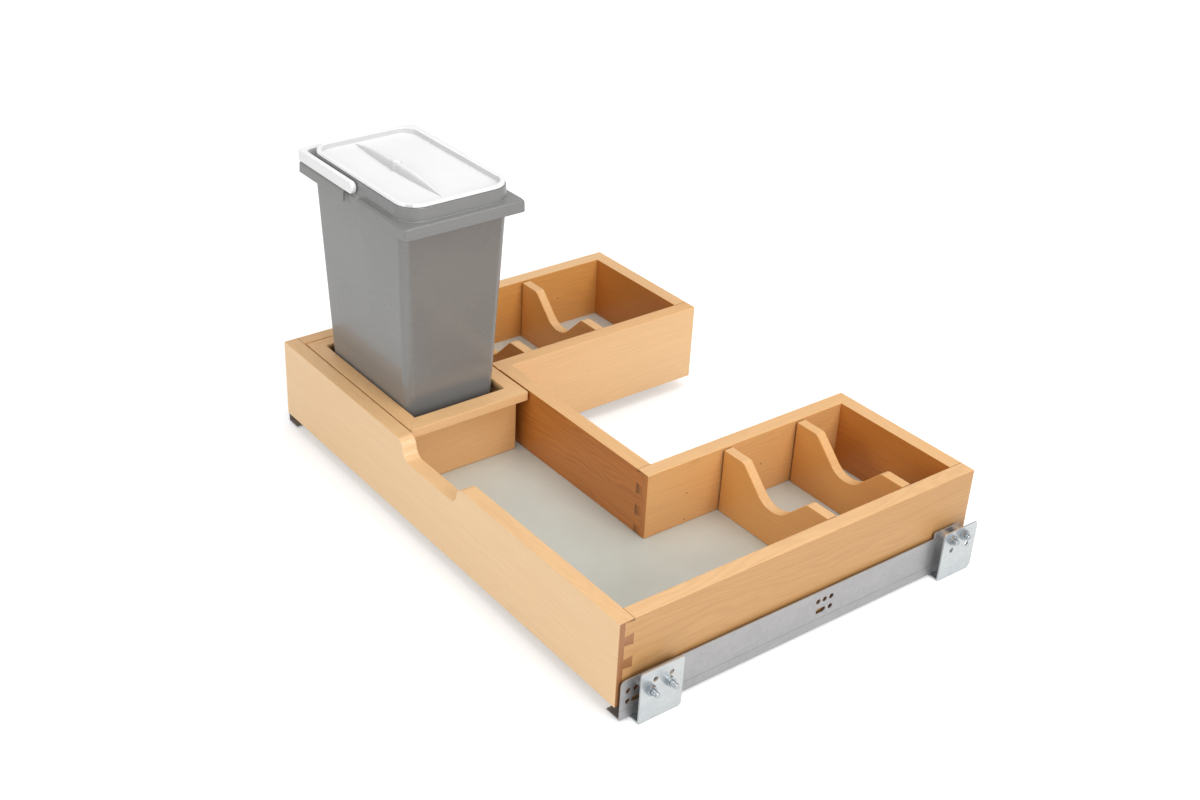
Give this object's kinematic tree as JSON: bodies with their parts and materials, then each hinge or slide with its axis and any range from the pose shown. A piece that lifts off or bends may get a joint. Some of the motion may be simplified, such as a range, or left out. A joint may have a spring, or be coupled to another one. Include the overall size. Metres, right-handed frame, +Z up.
{
  "type": "pull-out vanity organizer",
  "caption": "U-shaped dovetailed pull-out drawer that goes round a basin's plumbing, on under-floor slides, with movable dividers and a lidded bin in a holder.",
  "frame": {"origin": "centre of the whole part's footprint, on the undersides of the bracket feet, with the drawer closed", "axes": "+X right as seen from the front, +Y to the back of the cabinet, +Z up"},
  "size_m": [0.707, 0.476, 0.3697],
  "materials": {
    "maple": "clear-coated pale maple with a satin sheen",
    "laminate": "satin laminate on plywood",
    "plated_steel": "zinc-plated sheet steel",
    "bracket_zinc": "bright zinc plate, slightly blue",
    "nylon": "moulded nylon",
    "lock_plastic": "moulded grey plastic",
    "lever_plastic": "moulded light grey plastic",
    "bin_plastic": "semi-gloss warm grey plastic",
    "lid_plastic": "semi-gloss white plastic"
  },
  "bodies": {
    "mounting": {"left_cabinet_rail": "plated_steel", "right_cabinet_rail": "plated_steel", "left_front_bracket": "bracket_zinc", "left_rear_bracket": "bracket_zinc", "right_front_bracket": "bracket_zinc", "right_rear_bracket": "bracket_zinc", "bracket_bolts": "bracket_zinc", "bracket_nuts": "bracket_zinc", "bracket_spacers": "plated_steel"},
    "drawer": {"front_board": "maple", "left_side_board": "maple", "right_side_board": "maple", "left_arm_board": "maple", "right_arm_board": "maple", "inner_back_board": "maple", "left_rear_board": "maple", "right_rear_board": "maple", "floor_panel": "laminate", "left_front_divider": "maple", "left_rear_divider": "maple", "right_front_divider": "maple", "right_rear_divider": "maple", "divider_wires": "plated_steel", "holder_front_rail": "maple", "holder_rear_rail": "maple", "holder_left_rail_piece": "maple", "holder_right_rail_piece": "maple", "holder_front_wall": "maple", "holder_rear_wall": "maple", "holder_left_wall": "maple", "holder_right_wall": "maple", "left_drawer_rail": "plated_steel", "right_drawer_rail": "plated_steel", "left_lock_base": "lock_plastic", "right_lock_base": "lock_plastic", "lock_screws": "plated_steel"},
    "left_middle": {"left_middle_rail": "plated_steel"},
    "left_low_cage": {"left_lower_cage": "nylon", "left_lower_rollers": "nylon"},
    "left_up_cage": {"left_upper_cage": "nylon", "left_upper_rollers": "nylon"},
    "left_lever": {"left_lock_lever": "lever_plastic"},
    "right_middle": {"right_middle_rail": "plated_steel"},
    "right_low_cage": {"right_lower_cage": "nylon", "right_lower_rollers": "nylon"},
    "right_up_cage": {"right_upper_cage": "nylon", "right_upper_rollers": "nylon"},
    "right_lever": {"right_lock_lever": "lever_plastic"},
    "bin": {"bin_body": "bin_plastic"},
    "lid": {"bin_lid": "lid_plastic"},
    "bail": {"bin_bail": "lid_plastic"}
  },
  "joints": [
    {"name": "drawer_slide", "type": "slide", "parent": "mounting", "child": "drawer", "axis": [0, -1, 0], "range_m": [0, 0.43]},
    {"name": "left_middle_slide", "type": "slide", "parent": "mounting", "child": "left_middle", "axis": [0, -1, 0], "range_m": [0, 0.215]},
    {"name": "left_low_cage_slide", "type": "slide", "parent": "mounting", "child": "left_low_cage", "axis": [0, -1, 0], "range_m": [0, 0.1075]},
    {"name": "left_up_cage_slide", "type": "slide", "parent": "mounting", "child": "left_up_cage", "axis": [0, -1, 0], "range_m": [0, 0.3225]},
    {"name": "left_lever_swing", "type": "hinge", "parent": "drawer", "child": "left_lever", "pos_m": [-0.2605, -0.198, 0.0235], "axis": [0, 0, 1], "range_deg": [-12, 0]},
    {"name": "right_middle_slide", "type": "slide", "parent": "mounting", "child": "right_middle", "axis": [0, -1, 0], "range_m": [0, 0.215]},
    {"name": "right_low_cage_slide", "type": "slide", "parent": "mounting", "child": "right_low_cage", "axis": [0, -1, 0], "range_m": [0, 0.1075]},
    {"name": "right_up_cage_slide", "type": "slide", "parent": "mounting", "child": "right_up_cage", "axis": [0, -1, 0], "range_m": [0, 0.3225]},
    {"name": "right_lever_swing", "type": "hinge", "parent": "drawer", "child": "right_lever", "pos_m": [0.2605, -0.198, 0.0235], "axis": [0, 0, 1], "range_deg": [0, 12]},
    {"name": "bin_lift", "type": "slide", "parent": "drawer", "child": "bin", "axis": [0, 0, 1], "range_m": [0, 0.12]},
    {"name": "lid_lift", "type": "slide", "parent": "bin", "child": "lid", "axis": [0, 0, 1], "range_m": [0, 0.05]},
    {"name": "bail_swing", "type": "hinge", "parent": "bin", "child": "bail", "pos_m": [-0.1925, -0.1395, 0.35355], "axis": [0, 1, 0], "range_deg": [0, 180]}
  ],
  "couplings": [
    {"joint": "left_middle_slide", "follows": "drawer_slide", "ratio": 0.5},
    {"joint": "left_low_cage_slide", "follows": "drawer_slide", "ratio": 0.25},
    {"joint": "left_up_cage_slide", "follows": "drawer_slide", "ratio": 0.75},
    {"joint": "right_middle_slide", "follows": "drawer_slide", "ratio": 0.5},
    {"joint": "right_low_cage_slide", "follows": "drawer_slide", "ratio": 0.25},
    {"joint": "right_up_cage_slide", "follows": "drawer_slide", "ratio": 0.75}
  ]
}
